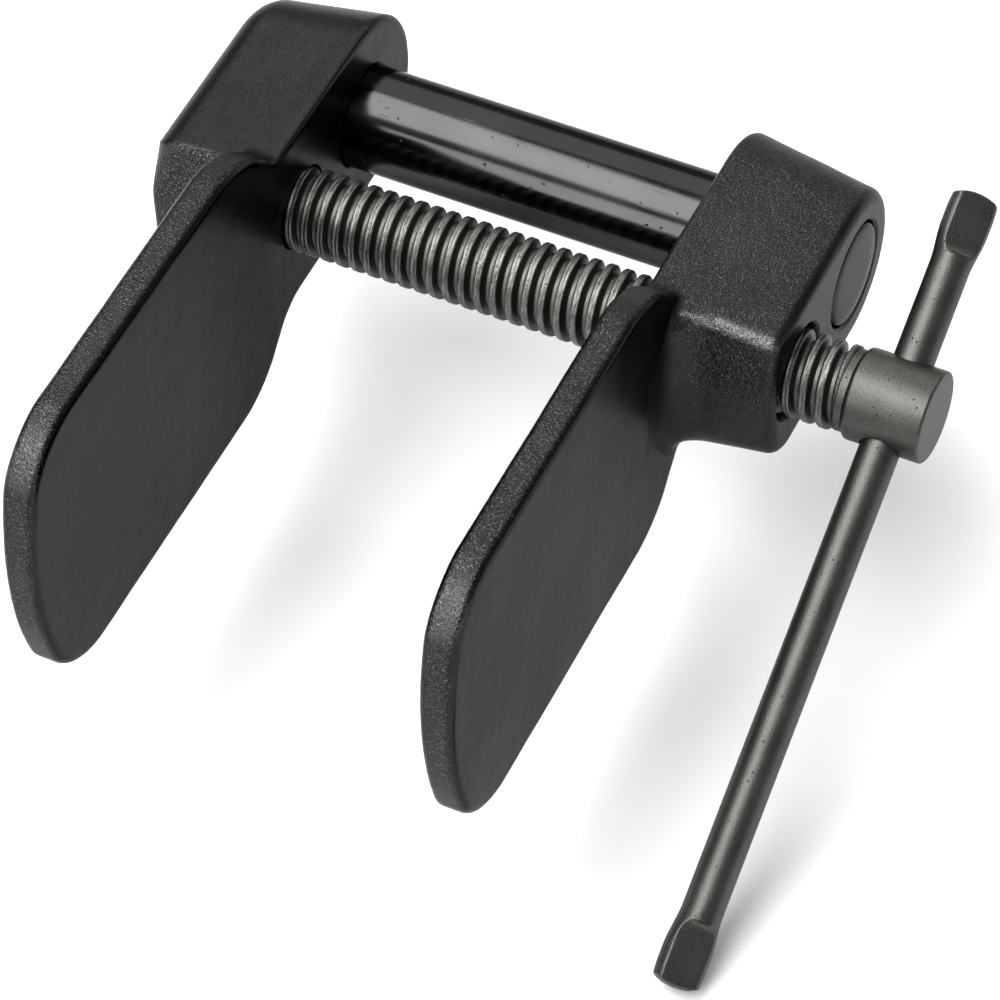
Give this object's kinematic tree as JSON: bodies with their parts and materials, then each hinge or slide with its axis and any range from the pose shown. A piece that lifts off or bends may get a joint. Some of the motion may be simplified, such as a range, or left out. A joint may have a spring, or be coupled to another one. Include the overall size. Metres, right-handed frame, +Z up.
{
  "type": "screw-operated brake pad spreader",
  "caption": "Two flat-bladed cast jaws on a guide bar, spread apart by a threaded screw that is turned with a sliding tommy bar.",
  "frame": {"origin": "middle of the fixed blade's flat outer face", "axes": "+X along the screw towards its head, +Y from the blades to the bosses, +Z up, across the blades"},
  "size_m": [0.152, 0.146, 0.0876],
  "materials": {
    "jaw_casting": "satin black over a fine cast grain, glossier on the worn edges",
    "bar_black": "gloss black oxide on a ground round bar, with fine scratches",
    "screw_steel": "grey-olive phosphate, brighter on the thread crests",
    "tommy_steel": "grey-olive phosphate with small pits",
    "plain_steel": "plain turned steel",
    "ring_steel": "blackened spring steel"
  },
  "bodies": {
    "frame": {"fixed_jaw": "jaw_casting", "guide_bar": "bar_black", "thrust_washer": "plain_steel", "end_washer": "plain_steel"},
    "screw": {"feed_screw": "screw_steel", "retaining_ring": "ring_steel"},
    "slider": {"sliding_jaw": "jaw_casting"},
    "handle": {"tommy_bar": "tommy_steel"}
  },
  "joints": [
    {"name": "screw_turn", "type": "hinge", "parent": "frame", "child": "screw", "pos_m": [0, 0.062, 0], "axis": [1, 0, 0], "range_deg": [-900, 7920]},
    {"name": "jaw_slide", "type": "slide", "parent": "frame", "child": "slider", "axis": [1, 0, 0], "range_m": [-0.0705, 0.0081]},
    {"name": "tommy_slide", "type": "slide", "parent": "screw", "child": "handle", "axis": [0, -0.8771, -0.4802], "range_m": [-0.085, 0.015]}
  ],
  "couplings": [
    {"joint": "jaw_slide", "follows": "screw_turn", "m_per_rad": -0.0005093}
  ]
}
